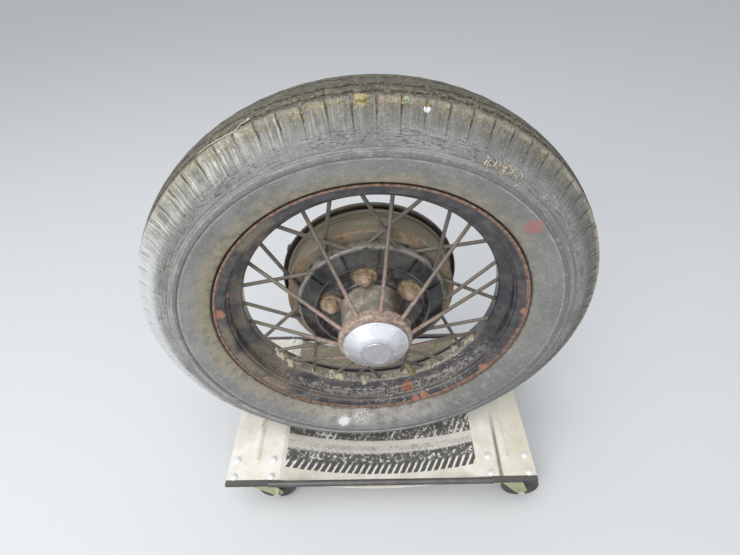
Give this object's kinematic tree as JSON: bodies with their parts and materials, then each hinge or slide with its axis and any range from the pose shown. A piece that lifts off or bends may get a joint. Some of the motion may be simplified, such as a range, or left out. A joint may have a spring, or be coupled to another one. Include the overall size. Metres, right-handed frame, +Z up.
{
  "type": "vintage car wire wheel on a wheel dolly",
  "caption": "Wire-spoked rear wheel of a vintage car with tyre, hub, brake drum and axle end, parked on a dished steel dolly with swivel casters.",
  "frame": {"origin": "on the floor, centre of the bounding box's base: under the wheel's axis and halfway along the dolly's depth; the wheel's middle plane is at Y = -0.0205", "axes": "+Z up; the wheel's axle runs along Y with the hub cap towards -Y and the axle end towards +Y; +X to the right seen from the hub cap side"},
  "size_m": [0.744, 0.4114, 0.8126],
  "materials": {
    "tyre": "weathered, dusty",
    "rim_paint": "old black enamel with rust",
    "spoke_paint": "rusty, dusty enamel",
    "shell_paint": "black enamel worn to rust",
    "cap_chrome": "dull plated",
    "nut_steel": "rusty plated",
    "valve_brass": "dull",
    "drum_iron": "dusty",
    "hub_iron": "greasy",
    "shaft_steel": "machined",
    "housing_paint": "black enamel, oily",
    "plate_paint": "black enamel with rust",
    "adjuster_steel": "rusty",
    "deck_paint": "cream paint, worn",
    "rail_black": "glossy black",
    "block_black": "dull black",
    "zinc_plate": "yellow zinc plated",
    "zinc_fork": "yellow zinc plated",
    "bolt_steel": "bright zinc plated",
    "roller_black": "dusty"
  },
  "bodies": {
    "dolly": {"deck": "deck_paint", "front_rod": "rail_black", "front_blocks": "block_black", "rear_rod": "rail_black", "rear_blocks": "block_black", "caster_plate_front_left": "zinc_plate", "caster_plate_front_right": "zinc_plate", "caster_plate_rear_left": "zinc_plate", "caster_plate_rear_right": "zinc_plate", "axle_housing": "housing_paint", "backing_plate": "plate_paint", "brake_lever": "housing_paint", "brake_adjuster": "adjuster_steel"},
    "wheel": {"tyre": "tyre", "rim": "rim_paint", "front_spokes": "spoke_paint", "rear_spokes_leading": "spoke_paint", "rear_spokes_trailing": "spoke_paint", "hub_shell": "shell_paint", "hub_cap": "cap_chrome", "wheel_nuts": "nut_steel", "valve_stem": "valve_brass", "brake_drum": "drum_iron", "hub": "hub_iron", "axle_shaft": "shaft_steel"},
    "fork_front_left": {"caster_fork_front_left": "zinc_fork", "caster_bolt_front_left": "bolt_steel"},
    "roller_front_left": {"caster_wheel_front_left": "roller_black"},
    "fork_front_right": {"caster_fork_front_right": "zinc_fork", "caster_bolt_front_right": "bolt_steel"},
    "roller_front_right": {"caster_wheel_front_right": "roller_black"},
    "fork_rear_left": {"caster_fork_rear_left": "zinc_fork", "caster_bolt_rear_left": "bolt_steel"},
    "roller_rear_left": {"caster_wheel_rear_left": "roller_black"},
    "fork_rear_right": {"caster_fork_rear_right": "zinc_fork", "caster_bolt_rear_right": "bolt_steel"},
    "roller_rear_right": {"caster_wheel_rear_right": "roller_black"}
  },
  "joints": [
    {"name": "wheel_spin", "type": "hinge", "parent": "dolly", "child": "wheel", "pos_m": [0, -0.0205, 0.4406], "axis": [0, 1, 0], "continuous": true},
    {"name": "swivel_front_left", "type": "hinge", "parent": "dolly", "child": "fork_front_left", "pos_m": [-0.25258, -0.14236, 0.112], "axis": [0, 0, 1], "continuous": true},
    {"name": "roll_front_left", "type": "hinge", "parent": "fork_front_left", "child": "roller_front_left", "pos_m": [-0.21658, -0.14243, 0.0375], "axis": [0.0017, 1, 0], "continuous": true},
    {"name": "swivel_front_right", "type": "hinge", "parent": "dolly", "child": "fork_front_right", "pos_m": [0.25368, -0.16978, 0.112], "axis": [0, 0, 1], "continuous": true},
    {"name": "roll_front_right", "type": "hinge", "parent": "fork_front_right", "child": "roller_front_right", "pos_m": [0.28947, -0.17361, 0.0375], "axis": [0.1063, 0.9943, 0], "continuous": true},
    {"name": "swivel_rear_left", "type": "hinge", "parent": "dolly", "child": "fork_rear_left", "pos_m": [-0.23568, 0.16978, 0.112], "axis": [0, 0, 1], "continuous": true},
    {"name": "roll_rear_left", "type": "hinge", "parent": "fork_rear_left", "child": "roller_rear_left", "pos_m": [-0.19972, 0.1716, 0.0375], "axis": [-0.0506, 0.9987, 0], "continuous": true},
    {"name": "swivel_rear_right", "type": "hinge", "parent": "dolly", "child": "fork_rear_right", "pos_m": [0.27058, 0.14236, 0.112], "axis": [0, 0, 1], "continuous": true},
    {"name": "roll_rear_right", "type": "hinge", "parent": "fork_rear_right", "child": "roller_rear_right", "pos_m": [0.30622, 0.13729, 0.0375], "axis": [0.1409, 0.99, 0], "continuous": true}
  ]
}
